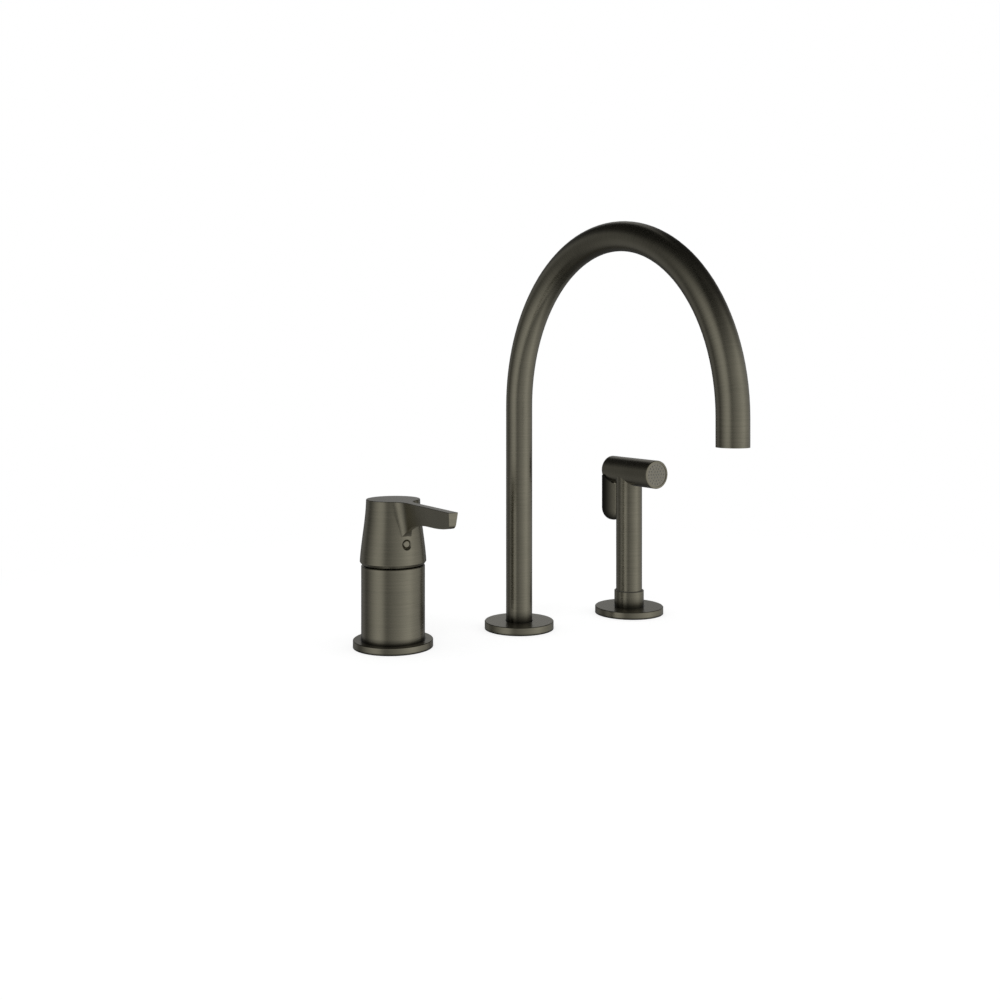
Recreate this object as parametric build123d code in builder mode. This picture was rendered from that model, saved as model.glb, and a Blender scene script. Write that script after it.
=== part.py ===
from build123d import *
import os
from math import asin, cos, radians, sin, sqrt, tan

# Side spray kitchen faucet: a single lever mixer, a swivel spout and a pull-out side spray.
# Millimetres, +Z up. The origin is on the deck's top face, on the spout's upright axis.
# The three stations stand in a row along X. Spout, lever and spray all point to -Y, to the
# user, and "forward" is the distance from a station's axis that way.

os.makedirs("parts", exist_ok=True)

# ---- Row of stations ----------------------------------------------------------------------
mixer_x = -106.5
spout_x = 0.0
spray_x = 105.7
deck_thickness = 20.0

# ---- Clearances ---------------------------------------------------------------------------
joint_gap = 0.05  # radial, between pieces that are screwed or pushed together
running_gap = 0.08  # radial, between a piece and the bore that it turns or slides in
air_gap = 0.3  # between moving pieces that come close and never touch
edge_break = 0.4  # small chamfer on turned edges

# ---- Deck fixing, alike under the three stations ------------------------------------------
shank_radius = 16.5
shank_bottom = -50.0
shank_rise = 3.0  # how far a shank screws up into a flange
deck_gasket_height = 3.0
deck_washer_height = 2.0
washer_overhang = 8.5
backnut_height = 8.0
backnut_wall = 5.5
flange_gasket_height = 1.5
flange_gasket_width = 4.0
flange_rim = 2.0  # metal left outside the gasket

# ---- Spout --------------------------------------------------------------------------------
spout_flange_radius = 26.35
spout_flange_height = 6.0
spout_tube_radius = 10.0
spout_tube_wall = 1.2
spout_arc_radius = 117.5
spout_riser_top = 169.8
spout_drop = 17.3  # straight end of the tube below the arch
spout_tube_foot = -12.0
spigot_wall = 2.4
socket_floor = -33.0
spigot_top = -4.0
bearing_ring_height = 3.0
bearing_ring_depth = 0.8
bearing_ring_inset = 2.0
oring_section = 2.2
oring_pitch = 6.0
retaining_ring_height = 1.2
retaining_ring_bite = 1.0  # how deep the ring sits in the socket's wall
retaining_ring_slot = 5.0
aerator_recess = 0.6
aerator_height = 12.0
aerator_wall = 1.3
aerator_seal_height = 1.6
aerator_hole_radius = 0.75
aerator_hole_pitch = 2.2
aerator_hole_rows = 5
aerator_insert_height = 4.0

# ---- Diverter in the spout's shank --------------------------------------------------------
seat_wall = 3.0
seat_radius = 5.0
chamber_radius = 12.0
chamber_depth = 25.0
diverter_lift = 2.2
diverter_disc_height = 3.0
diverter_boss_radius = 6.5
diverter_boss_height = 3.0
diverter_hole_radius = 1.0
diverter_hole_count = 6
diverter_leg_radius = 1.0
diverter_leg_count = 3
diverter_spring_radius = 7.5
diverter_spring_wire = 0.35
diverter_spring_turns = 3
nipple_insert = 5.0
nipple_flats = 30.0
nipple_hex_height = 4.0
nipple_thread_radius = 10.48  # G1/2 male
nipple_thread_length = 12.0
nipple_bore = 6.0
spray_port_radius = 5.0  # M10 x 1

# ---- Mixer --------------------------------------------------------------------------------
mixer_flange_radius = 28.6
mixer_flange_height = 5.3
mixer_sleeve_wall = 1.5
mixer_top = 58.2  # top of the sleeve, at the split
mixer_split = 1.0
# The handle's outline: how far it stands out past the sleeve, and how high above its foot.
handle_foot_proud = -0.35
handle_shoulder_proud = 1.0
handle_shoulder_rise = 1.8
handle_waist_proud = -0.85
handle_waist_rise = 19.5
handle_neck_proud = -2.5
handle_neck_rise = 32.4
handle_top_proud = -3.45
handle_height = 46.1
lever_reach = 89.7
lever_width = 6.8  # at the top, from where both sides draw in
lever_root_width = 1.4  # at the root's height
lever_fillet = 12.5  # in plan, from the blade into the cone, at the top
lever_root_fillet = 7.6  # the same at the blade's root
lever_root_rise = 19.7  # height of the blade's underside inside the cone's skin
lever_tip_depth = 10.4
lever_tip_rake = 1.3
lever_tip_round = 4.0
lever_edge = 0.3
lever_underside = (  # back from the tip, and down from the top
    (7.0, 11.5),
    (13.0, 12.2),
    (20.0, 12.7),
    (29.5, 12.9),
    (39.0, 13.2),
    (46.0, 14.0),
    (54.5, 15.8),
    (59.0, 17.5),
    (63.0, 19.5),
    (66.0, 21.6),
    (67.7, 23.6),
)
lever_lift = 15.0  # degrees
lever_overlift = 0.5  # degrees that the handle's bevel allows past the stop
tilt_rise = 7.8  # the lever's tilt axis, above the sleeve's top
plug_rise = 16.5
plug_radius = 2.5
plug_depth = 2.0
plug_bevel = 0.45
plug_inset = 0.35
plug_countersink = 3.7
handle_screw_length = 8.0
handle_screw_key = 2.5  # across the flats, and deep

# ---- Mixer inside: the cartridge's heights are above or below the tilt axis ----------------
valve_bottom = 2.0
valve_wall = 3.65
valve_port_offset = 8.0
valve_port_radius = 5.0  # M10 x 1
valve_port_length = 14.0
valve_passage_radius = 3.4
mixer_shank_top = 12.0
mixer_shank_wall = 2.0
valve_shoulder_drop = 8.2  # below the sleeve's top
valve_neck_wall = 1.2
valve_neck_drop = 0.7
cartridge_radius = 17.5
cartridge_wall = 1.7
cartridge_drop = 35.0
cartridge_base_height = 6.0
port_seal_height = 1.6
port_seal_wall = 1.6
fixed_disc_radius = 14.0
fixed_disc_height = 4.0
moving_disc_radius = 12.2
moving_disc_height = 3.5
disc_gap = 0.05
carrier_height = 5.7
carrier_floor = 0.7
ball_radius = 2.9
ball_neck_radius = 1.9
ball_drop = 17.5  # ball centre below the tilt axis
housing_shoulder_drop = 10.0
housing_collar_wall = 1.6
housing_collar_inset = 3.0
housing_rise = 4.5
rotor_flange_drop = 15.4
stem_width = 8.0
stem_rise = 26.0
stem_foot_drop = 13.5  # square part's foot below the tilt axis
stem_pin_radius = 1.5
nut_height = 6.5
nut_notch = 3.0
nut_notch_count = 6
dome_inset = 1.45  # the ball zone's radius, inside the sleeve's
dome_wall = 1.2
dome_rise = 5.0
dome_top_wall = 1.1

# ---- Side spray ---------------------------------------------------------------------------
spray_flange_radius = 27.55
spray_flange_height = 5.6
collar_wall = 0.35  # outside the guide ring's groove
collar_top = 18.6
collar_groove_height = 0.8
collar_tail = -4.0
guide_ring_foot = 10.0
guide_ring_height = 6.0
guide_ring_wall = 0.7
spray_tube_radius = 10.5
spray_tube_bore = 8.0
spray_tube_foot = 3.0
spray_shank_bore = 11.0
spray_shank_socket = 14.0  # depth of the socket below the collar's tail, for the hose's nut
swivel_depth = 11.0
swivel_flange_lip = 0.9
swivel_flange_height = 2.7
swivel_thread_radius = 7.5  # M15 x 1 male
swivel_thread_length = 14.0
swivel_bore = 4.0
barrel_height = 114.9
barrel_radius = 11.15
barrel_wall = 1.5
barrel_rear = 23.1
barrel_front = 30.0
barrel_edge = 0.9
nozzle_ring_length = 5.5
nozzle_ring_wall = 1.6
nozzle_ring_thread = 6.0
face_plate_recess = 0.4
face_plate_height = 2.0
nozzle_mat_height = 1.8
nozzle_radius = 0.5
nozzle_hole_radius = 0.62
nozzle_ring_pitch = 2.5
nozzle_ring_count = 3
nozzle_step_count = 6  # nozzles that each ring has more than the one inside it
nozzle_stand = 0.25
trigger_thickness = 8.8
trigger_drop = 41.7  # lower end, below the barrel's axis
trigger_gap = 0.7  # under the barrel
trigger_round = 1.6  # round the rear face
trigger_bevel = 8.5  # round the front face, where the fingers pull
trigger_bevel_depth = 5.1
trigger_squeeze = 4.0  # degrees
trigger_pin_rise = 5.6  # above the barrel's axis
trigger_pin_inset = 4.35  # ahead of the barrel's rear end
trigger_pin_radius = 1.2
tongue_width = 6.0
tongue_thickness = 4.4
ear_thickness = 2.5
ear_round = 2.0
rear_cap_height = 2.0
valve_rear = -9.5
valve_front = 18.0
valve_rear_wall = 4.5
valve_inlet_length = 9.0
valve_seat_wall = 2.0
valve_chamber_radius = 5.0
valve_seat_radius = 2.8
valve_inlet_radius = 3.5
plunger_drop = 4.0  # plunger axis below the barrel's axis
plunger_radius = 1.5
plunger_head_radius = 4.0
plunger_head_height = 2.0
plunger_seal_height = 0.6
plunger_seal_gap = 0.1
plunger_guide = 2.4
gland_radius = 3.0
gland_depth = 2.25
plunger_spring_radius = 3.0
plunger_spring_wire = 0.4
plunger_spring_turns = 5
retainer_height = 2.0
retainer_hole_radius = 1.4
retainer_hole_count = 6
retainer_hole_circle_radius = 6.2


def level(x, z):
    """Horizontal plane on an upright axis, with local x along the row."""
    return Plane(origin=(x, 0, z), x_dir=(1, 0, 0), z_dir=(0, 0, 1))


def plan(x, z):
    """Horizontal plane on an upright axis, with local x forward and local y along the row."""
    return Plane(origin=(x, 0, z), x_dir=(0, -1, 0), z_dir=(0, 0, 1))


def section(x):
    """Upright plane along the row: local x is the radius and local y the height."""
    return Plane(origin=(x, 0, 0), x_dir=(1, 0, 0), z_dir=(0, -1, 0))


def side(x, z=0.0):
    """Upright plane across the row: local x is forward and local y is up."""
    return Plane(origin=(x, 0, z), x_dir=(0, -1, 0), z_dir=(-1, 0, 0))


def facing(x, forward, z):
    """Upright plane that faces the user."""
    return Plane(origin=(x, -forward, z), x_dir=(1, 0, 0), z_dir=(0, -1, 0))


def upright(x):
    return Axis((x, 0, 0), (0, 0, 1))


def disc(plane, height, radius, bore=0.0, mode=Mode.ADD):
    """Add or cut a cylinder or ring that stands on a plane."""
    with BuildSketch(plane) as outline:
        Circle(radius)
        if bore > 0:
            Circle(bore, mode=Mode.SUBTRACT)
    extrude(outline.sketch, amount=height, mode=mode)


def cut(plane, depth, radius):
    """Cut a round hole, from a plane along its normal."""
    disc(plane, depth, radius, mode=Mode.SUBTRACT)


def helix_wire(centre, direction, coil_radius, wire_radius, length, turns):
    """Add a coil spring between two ends that lie a wire's thickness inside its length."""
    with BuildLine() as coil:
        Helix(
            pitch=(length - 2 * wire_radius) / turns,
            height=length - 2 * wire_radius,
            radius=coil_radius,
            center=centre,
            direction=direction,
        )
    with BuildSketch(Plane(origin=coil.line @ 0, z_dir=coil.line % 0)) as wire:
        Circle(wire_radius)
    sweep(wire.sketch, path=coil.line, is_frenet=True)


stations = {"mixer": mixer_x, "spout": spout_x, "spray": spray_x}

# ---- Mixer: radii from the cartridge outwards, and heights round the tilt axis -------------
cartridge_hole = cartridge_radius + joint_gap
valve_radius = cartridge_hole + valve_wall
valve_neck_radius = cartridge_hole + valve_neck_wall
mixer_sleeve_bore = valve_radius + joint_gap
mixer_radius = mixer_sleeve_bore + mixer_sleeve_wall
dome_radius = mixer_radius - dome_inset
housing_collar_radius = cartridge_radius - housing_collar_inset
tilt_height = mixer_top + tilt_rise
dome_top = tilt_height + dome_rise
housing_top = tilt_height + housing_rise
stem_top = tilt_height + stem_rise
housing_shoulder = tilt_height - housing_shoulder_drop
rotor_flange_foot = tilt_height - rotor_flange_drop
cartridge_foot = tilt_height - cartridge_drop
valve_shoulder = mixer_top - valve_shoulder_drop
valve_neck_top = mixer_top - valve_neck_drop

# ---- Side spray: radii from the tube outwards ---------------------------------------------
collar_bore = spray_tube_radius + air_gap
guide_ring_outer = collar_bore + guide_ring_wall
collar_radius = guide_ring_outer + joint_gap + collar_wall
swivel_flange_radius = spray_tube_bore + swivel_flange_lip
ledge_radius = swivel_flange_radius + air_gap

# ---- Flanges and the gaskets in their undersides ------------------------------------------
shank_hole = shank_radius + joint_gap
flange_sizes = {
    "mixer": (mixer_flange_radius, mixer_flange_height, valve_bottom, mixer_sleeve_bore),
    "spout": (spout_flange_radius, spout_flange_height, shank_rise, spout_tube_radius + air_gap),
    "spray": (spray_flange_radius, spray_flange_height, shank_rise, collar_radius + joint_gap),
}
for station, (flange_radius, flange_height, foot_height, flange_bore) in flange_sizes.items():
    gasket_outer = flange_radius - flange_rim
    gasket_inner = gasket_outer - flange_gasket_width
    with BuildPart() as flange:
        disc(level(stations[station], 0), flange_height, flange_radius)
        chamfer(flange.edges().group_by(Axis.Z)[-1], edge_break)
        cut(level(stations[station], 0), foot_height, shank_hole)
        cut(level(stations[station], foot_height), flange_height - foot_height, flange_bore)
        disc(
            level(stations[station], 0),
            flange_gasket_height,
            gasket_outer,
            gasket_inner,
            mode=Mode.SUBTRACT,
        )
    flange.part.label = f"{station}_flange"
    export_step(flange.part, f"parts/{station}_flange.step")

    with BuildPart() as flange_gasket:
        disc(
            level(stations[station], 0),
            flange_gasket_height - joint_gap,
            gasket_outer - joint_gap,
            gasket_inner + joint_gap,
        )
    flange_gasket.part.label = f"{station}_flange_gasket"
    export_step(flange_gasket.part, f"parts/{station}_flange_gasket.step")

# ---- Under the deck: a rubber gasket, a steel washer and a brass nut on each shank ---------
gasket_bottom = -deck_thickness - deck_gasket_height
washer_bottom = gasket_bottom - deck_washer_height
nut_bottom = washer_bottom - backnut_height
washer_radius = shank_radius + washer_overhang

with BuildPart() as deck_gaskets:
    for x in stations.values():
        disc(level(x, gasket_bottom), deck_gasket_height, washer_radius, shank_hole)
deck_gaskets.part.label = "deck_gaskets"
export_step(deck_gaskets.part, "parts/deck_gaskets.step")

with BuildPart() as deck_washers:
    for x in stations.values():
        disc(level(x, washer_bottom), deck_washer_height, washer_radius, shank_hole)
deck_washers.part.label = "deck_washers"
export_step(deck_washers.part, "parts/deck_washers.step")

with BuildPart() as backnuts:
    for x in stations.values():
        with BuildSketch(level(x, nut_bottom)):
            RegularPolygon(shank_radius + backnut_wall, 6, major_radius=False)
            Circle(shank_hole, mode=Mode.SUBTRACT)
    extrude(amount=backnut_height)
backnuts.part.label = "backnuts"
export_step(backnuts.part, "parts/backnuts.step")

# ---- Spout: shank with the socket above and the diverter chamber below --------------------
socket_radius = spout_tube_radius + spigot_wall
chamber_top = socket_floor - seat_wall
spout_shank_bottom = chamber_top - chamber_depth
nipple_top = spout_shank_bottom + nipple_insert
retaining_ring_foot = spigot_top + joint_gap + air_gap
piston_foot = nipple_top + air_gap
piston_disc_top = chamber_top - air_gap - diverter_lift - diverter_boss_height
piston_disc_bottom = piston_disc_top - diverter_disc_height
spray_port_height = (piston_disc_bottom + nipple_top) / 2
retaining_groove = socket_radius + retaining_ring_bite

with BuildPart() as spout_shank:
    disc(level(spout_x, spout_shank_bottom), shank_rise - spout_shank_bottom, shank_radius)
    chamfer(spout_shank.edges().group_by(Axis.Z)[0], edge_break)
    cut(level(spout_x, socket_floor), shank_rise - socket_floor, socket_radius)
    cut(level(spout_x, chamber_top), seat_wall, seat_radius)
    cut(level(spout_x, spout_shank_bottom), chamber_depth, chamber_radius)
    cut(
        level(spout_x, retaining_ring_foot - joint_gap),
        retaining_ring_height + 2 * joint_gap,
        retaining_groove + joint_gap,
    )
    cut(
        Plane(origin=(spout_x, 0, spray_port_height), x_dir=(1, 0, 0), z_dir=(0, 1, 0)),
        shank_radius,
        spray_port_radius,
    )
spout_shank.part.label = "spout_shank"
export_step(spout_shank.part, "parts/spout_shank.step")

# A split ring in the socket's wall keeps the spigot, and with it the spout, from lifting out.
with BuildPart() as spout_retaining_ring:
    disc(
        level(spout_x, retaining_ring_foot),
        retaining_ring_height,
        retaining_groove,
        spout_tube_radius + air_gap,
    )
    with BuildSketch(level(spout_x, retaining_ring_foot)):
        with Locations((retaining_groove / 2, 0)):
            Rectangle(retaining_groove, retaining_ring_slot)
    extrude(amount=retaining_ring_height, mode=Mode.SUBTRACT)
spout_retaining_ring.part.label = "spout_retaining_ring"
export_step(spout_retaining_ring.part, "parts/spout_retaining_ring.step")

# ---- Spout: bent tube ---------------------------------------------------------------------
spout_reach = 2 * spout_arc_radius
spout_outlet = spout_riser_top - spout_drop
tube_bore = spout_tube_radius - spout_tube_wall
with BuildPart() as spout_tube:
    with BuildLine(side(spout_x)) as spout_path:
        Line((0, spout_tube_foot), (0, spout_riser_top))
        CenterArc((spout_arc_radius, spout_riser_top), spout_arc_radius, 180, -180)
        Line((spout_reach, spout_riser_top), (spout_reach, spout_outlet))
    with BuildSketch(level(spout_x, spout_tube_foot)) as tube_section:
        Circle(spout_tube_radius)
        Circle(tube_bore, mode=Mode.SUBTRACT)
    sweep(tube_section.sketch, path=spout_path.line)
spout_tube.part.label = "spout_tube"
export_step(spout_tube.part, "parts/spout_tube.step")

# ---- Spout: turned spigot on the tube's foot, with its bearing rings and O-rings ----------
spigot_bottom = socket_floor + air_gap
spigot_radius = socket_radius - air_gap
ring_outer = socket_radius - running_gap
ring_groove_radius = spigot_radius - bearing_ring_depth
ring_feet = (
    spigot_top - bearing_ring_inset - bearing_ring_height,
    spigot_bottom + bearing_ring_inset,
)
oring_centre_radius = ring_outer - oring_section / 2
oring_groove_radius = ring_outer - oring_section - joint_gap
oring_groove_height = oring_section + 2 * joint_gap
oring_middle = (spout_tube_foot + ring_feet[1] + bearing_ring_height) / 2
oring_heights = (oring_middle - oring_pitch / 2, oring_middle + oring_pitch / 2)

with BuildPart() as spout_spigot:
    disc(level(spout_x, spigot_bottom), spigot_top - spigot_bottom, spigot_radius, tube_bore)
    cut(level(spout_x, spout_tube_foot), spigot_top - spout_tube_foot, spout_tube_radius)
    for foot in ring_feet:
        disc(
            level(spout_x, foot - joint_gap),
            bearing_ring_height + 2 * joint_gap,
            socket_radius,
            ring_groove_radius,
            mode=Mode.SUBTRACT,
        )
    for height in oring_heights:
        disc(
            level(spout_x, height - oring_groove_height / 2),
            oring_groove_height,
            socket_radius,
            oring_groove_radius,
            mode=Mode.SUBTRACT,
        )
spout_spigot.part.label = "spout_spigot"
export_step(spout_spigot.part, "parts/spout_spigot.step")

with BuildPart() as spout_bearing_rings:
    for foot in ring_feet:
        disc(
            level(spout_x, foot),
            bearing_ring_height,
            ring_outer,
            ring_groove_radius + joint_gap,
        )
spout_bearing_rings.part.label = "spout_bearing_rings"
export_step(spout_bearing_rings.part, "parts/spout_bearing_rings.step")

with BuildPart() as spout_orings:
    with BuildSketch(section(spout_x)):
        for height in oring_heights:
            with Locations((oring_centre_radius, height)):
                Circle(oring_section / 2)
    revolve(axis=upright(spout_x))
spout_orings.part.label = "spout_orings"
export_step(spout_orings.part, "parts/spout_orings.step")

# ---- Spout: aerator in the outlet ---------------------------------------------------------
aerator_foot = spout_outlet + aerator_recess
aerator_radius = tube_bore - joint_gap
aerator_bore = aerator_radius - aerator_wall


def at_outlet(height):
    """Horizontal plane on the outlet's axis."""
    return Plane(origin=(spout_x, -spout_reach, height), x_dir=(1, 0, 0), z_dir=(0, 0, 1))


with BuildPart() as aerator_housing:
    disc(at_outlet(aerator_foot), aerator_height, aerator_radius, aerator_bore)
    chamfer(
        aerator_housing.edges().group_by(Axis.Z)[0].sort_by(SortBy.LENGTH)[0], edge_break
    )
aerator_housing.part.label = "aerator_housing"
export_step(aerator_housing.part, "parts/aerator_housing.step")

with BuildPart() as aerator_insert:
    disc(
        at_outlet(aerator_foot + edge_break),
        aerator_insert_height,
        aerator_bore - joint_gap,
    )
    with BuildSketch(at_outlet(aerator_foot + edge_break)):
        with HexLocations(aerator_hole_pitch / 2, aerator_hole_rows, aerator_hole_rows):
            Circle(aerator_hole_radius)
    extrude(amount=aerator_insert_height, mode=Mode.SUBTRACT)
aerator_insert.part.label = "aerator_insert"
export_step(aerator_insert.part, "parts/aerator_insert.step")

with BuildPart() as aerator_seal:
    disc(
        at_outlet(aerator_foot + aerator_height),
        aerator_seal_height,
        aerator_radius,
        aerator_bore,
    )
aerator_seal.part.label = "aerator_seal"
export_step(aerator_seal.part, "parts/aerator_seal.step")

# ---- Diverter: piston, return spring and the nipple that closes its chamber ---------------
with BuildPart() as diverter_piston:
    disc(
        level(spout_x, piston_disc_bottom),
        diverter_disc_height,
        chamber_radius - running_gap,
    )
    disc(level(spout_x, piston_disc_top), diverter_boss_height, diverter_boss_radius)
    with BuildSketch(level(spout_x, piston_disc_bottom)):
        with PolarLocations((diverter_spring_radius + chamber_radius) / 2, diverter_hole_count):
            Circle(diverter_hole_radius)
    extrude(amount=diverter_disc_height, mode=Mode.SUBTRACT)
    with BuildSketch(level(spout_x, piston_foot)):
        with PolarLocations((nipple_bore + chamber_radius) / 2, diverter_leg_count):
            Circle(diverter_leg_radius)
    extrude(amount=piston_disc_bottom - piston_foot)
diverter_piston.part.label = "diverter_piston"
export_step(diverter_piston.part, "parts/diverter_piston.step")

with BuildPart() as diverter_spring:
    helix_wire(
        (spout_x, 0, piston_disc_top + joint_gap + diverter_spring_wire),
        (0, 0, 1),
        diverter_spring_radius,
        diverter_spring_wire,
        chamber_top - piston_disc_top - 2 * joint_gap,
        diverter_spring_turns,
    )
diverter_spring.part.label = "diverter_spring"
export_step(diverter_spring.part, "parts/diverter_spring.step")

nipple_hex_bottom = spout_shank_bottom - nipple_hex_height
with BuildPart() as spout_inlet_nipple:
    disc(level(spout_x, spout_shank_bottom), nipple_insert, chamber_radius - joint_gap)
    with BuildSketch(level(spout_x, nipple_hex_bottom)):
        RegularPolygon(nipple_flats / 2, 6, major_radius=False)
    extrude(amount=nipple_hex_height)
    disc(
        level(spout_x, nipple_hex_bottom - nipple_thread_length),
        nipple_thread_length,
        nipple_thread_radius,
    )
    cut(
        level(spout_x, nipple_hex_bottom - nipple_thread_length),
        nipple_thread_length + nipple_hex_height + nipple_insert,
        nipple_bore,
    )
spout_inlet_nipple.part.label = "spout_inlet_nipple"
export_step(spout_inlet_nipple.part, "parts/spout_inlet_nipple.step")

# ---- Mixer: hollow shank that the inlet hoses pass through --------------------------------
mixer_shank_bore = shank_radius - mixer_shank_wall
with BuildPart() as mixer_shank:
    disc(level(mixer_x, shank_bottom), mixer_shank_top - shank_bottom, shank_radius)
    chamfer(mixer_shank.edges().group_by(Axis.Z)[0], edge_break)
    cut(level(mixer_x, shank_bottom), mixer_shank_top - shank_bottom, mixer_shank_bore)
mixer_shank.part.label = "mixer_shank"
export_step(mixer_shank.part, "parts/mixer_shank.step")

# ---- Mixer: sleeve and valve body ---------------------------------------------------------
with BuildPart() as mixer_sleeve:
    disc(
        level(mixer_x, mixer_flange_height),
        mixer_top - mixer_flange_height,
        mixer_radius,
        mixer_sleeve_bore,
    )
    chamfer(mixer_sleeve.edges().group_by(Axis.Z)[-1], edge_break)
mixer_sleeve.part.label = "mixer_sleeve"
export_step(mixer_sleeve.part, "parts/mixer_sleeve.step")

port_places = ((0, valve_port_offset), (0, -valve_port_offset), (valve_port_offset, 0))
with BuildPart() as mixer_valve_body:
    disc(
        level(mixer_x, valve_bottom),
        valve_shoulder - valve_bottom,
        valve_radius,
    )
    disc(level(mixer_x, valve_shoulder), valve_neck_top - valve_shoulder, valve_neck_radius)
    cut(
        level(mixer_x, cartridge_foot),
        valve_neck_top - cartridge_foot,
        cartridge_hole,
    )
    cut(
        level(mixer_x, valve_bottom),
        mixer_shank_top - valve_bottom,
        shank_hole,
    )
    with BuildSketch(plan(mixer_x, mixer_shank_top)):
        with Locations(*port_places):
            Circle(valve_port_radius)
    extrude(amount=valve_port_length, mode=Mode.SUBTRACT)
    with BuildSketch(plan(mixer_x, mixer_shank_top)):
        with Locations(*port_places):
            Circle(valve_passage_radius)
    extrude(amount=cartridge_foot - mixer_shank_top, mode=Mode.SUBTRACT)
mixer_valve_body.part.label = "mixer_valve_body"
export_step(mixer_valve_body.part, "parts/mixer_valve_body.step")

# ---- Cartridge: base, seals and fixed disc ------------------------------------------------
base_top = cartridge_foot + cartridge_base_height
fixed_disc_top = base_top + fixed_disc_height
seal_outer = valve_passage_radius + port_seal_wall
with BuildPart() as cartridge_base:
    disc(level(mixer_x, cartridge_foot), cartridge_base_height, cartridge_radius)
    with BuildSketch(plan(mixer_x, cartridge_foot)):
        with Locations(*port_places):
            Circle(seal_outer + joint_gap)
    extrude(amount=port_seal_height + joint_gap, mode=Mode.SUBTRACT)
    with BuildSketch(plan(mixer_x, cartridge_foot)):
        with Locations(*port_places):
            Circle(valve_passage_radius)
    extrude(amount=cartridge_base_height, mode=Mode.SUBTRACT)
cartridge_base.part.label = "cartridge_base"
export_step(cartridge_base.part, "parts/cartridge_base.step")

with BuildPart() as cartridge_port_seals:
    with BuildSketch(plan(mixer_x, cartridge_foot)):
        with Locations(*port_places):
            Circle(seal_outer)
            Circle(valve_passage_radius, mode=Mode.SUBTRACT)
    extrude(amount=port_seal_height)
cartridge_port_seals.part.label = "cartridge_port_seals"
export_step(cartridge_port_seals.part, "parts/cartridge_port_seals.step")

with BuildPart() as ceramic_disc_fixed:
    disc(level(mixer_x, base_top), fixed_disc_height, fixed_disc_radius)
    with BuildSketch(plan(mixer_x, base_top)):
        with Locations(*port_places):
            Circle(valve_passage_radius)
    extrude(amount=fixed_disc_height, mode=Mode.SUBTRACT)
ceramic_disc_fixed.part.label = "ceramic_disc_fixed"
export_step(ceramic_disc_fixed.part, "parts/ceramic_disc_fixed.step")

# ---- Cartridge: moving disc and its carrier, pushed forward by the stem's ball ------------
ball_height = tilt_height - ball_drop
disc_travel = ball_drop * sin(radians(lever_lift))
moving_disc_foot = fixed_disc_top + disc_gap
carrier_foot = moving_disc_foot + moving_disc_height
with BuildPart() as ceramic_disc_moving:
    with BuildSketch(plan(mixer_x, moving_disc_foot)):
        with Locations((-disc_travel / 2, 0)):
            Circle(moving_disc_radius)
    extrude(amount=moving_disc_height)
    with BuildSketch(plan(mixer_x, moving_disc_foot)):
        with Locations((-disc_travel / 2, 0)):
            SlotCenterToCenter(valve_port_offset, 2 * valve_passage_radius)
    extrude(amount=moving_disc_height / 2, mode=Mode.SUBTRACT)
ceramic_disc_moving.part.label = "ceramic_disc_moving"
export_step(ceramic_disc_moving.part, "parts/ceramic_disc_moving.step")

with BuildPart() as disc_carrier:
    with BuildSketch(plan(mixer_x, carrier_foot)):
        with Locations((-disc_travel / 2, 0)):
            Circle(moving_disc_radius)
    extrude(amount=carrier_height)
    cut(
        level(mixer_x, carrier_foot + carrier_floor),
        carrier_height - carrier_floor,
        ball_radius + running_gap,
    )
disc_carrier.part.label = "disc_carrier"
export_step(disc_carrier.part, "parts/disc_carrier.step")

# ---- Cartridge: housing, rotor and pin ----------------------------------------------------
housing_bore = cartridge_radius - cartridge_wall
housing_collar_bore = housing_collar_radius - housing_collar_wall
with BuildPart() as cartridge_housing:
    disc(level(mixer_x, base_top), housing_shoulder - base_top, cartridge_radius)
    disc(
        level(mixer_x, housing_shoulder),
        housing_top - housing_shoulder,
        housing_collar_radius,
    )
    cut(level(mixer_x, base_top), housing_shoulder - base_top - cartridge_wall, housing_bore)
    cut(level(mixer_x, base_top), housing_top - base_top, housing_collar_bore)
cartridge_housing.part.label = "cartridge_housing"
export_step(cartridge_housing.part, "parts/cartridge_housing.step")

half_stem = stem_width / 2
tilt = radians(lever_lift)
slot_front = stem_foot_drop * sin(tilt) + half_stem * cos(tilt) + air_gap
slot_rear = (housing_top - tilt_height) * tan(tilt) + half_stem / cos(tilt) + air_gap
rotor_flange_top = housing_shoulder - cartridge_wall - air_gap
rotor_radius = housing_collar_bore - running_gap
pin_length = 2 * rotor_radius - 2 * edge_break
with BuildPart() as cartridge_rotor:
    disc(
        level(mixer_x, rotor_flange_foot),
        rotor_flange_top - rotor_flange_foot,
        housing_bore - air_gap,
    )
    disc(level(mixer_x, rotor_flange_top), housing_top - rotor_flange_top, rotor_radius)
    with BuildSketch(plan(mixer_x, rotor_flange_foot)):
        with Locations(((slot_front - slot_rear) / 2, 0)):
            Rectangle(slot_front + slot_rear, stem_width + 2 * running_gap)
    extrude(amount=housing_top - rotor_flange_foot, mode=Mode.SUBTRACT)
    with BuildSketch(side(mixer_x, tilt_height)):
        Circle(stem_pin_radius + joint_gap)
    extrude(amount=pin_length / 2, both=True, mode=Mode.SUBTRACT)
cartridge_rotor.part.label = "cartridge_rotor"
export_step(cartridge_rotor.part, "parts/cartridge_rotor.step")

with BuildPart() as cartridge_stem_pin:
    with BuildSketch(side(mixer_x, tilt_height)):
        Circle(stem_pin_radius)
    extrude(amount=pin_length / 2, both=True)
cartridge_stem_pin.part.label = "cartridge_stem_pin"
export_step(cartridge_stem_pin.part, "parts/cartridge_stem_pin.step")

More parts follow.
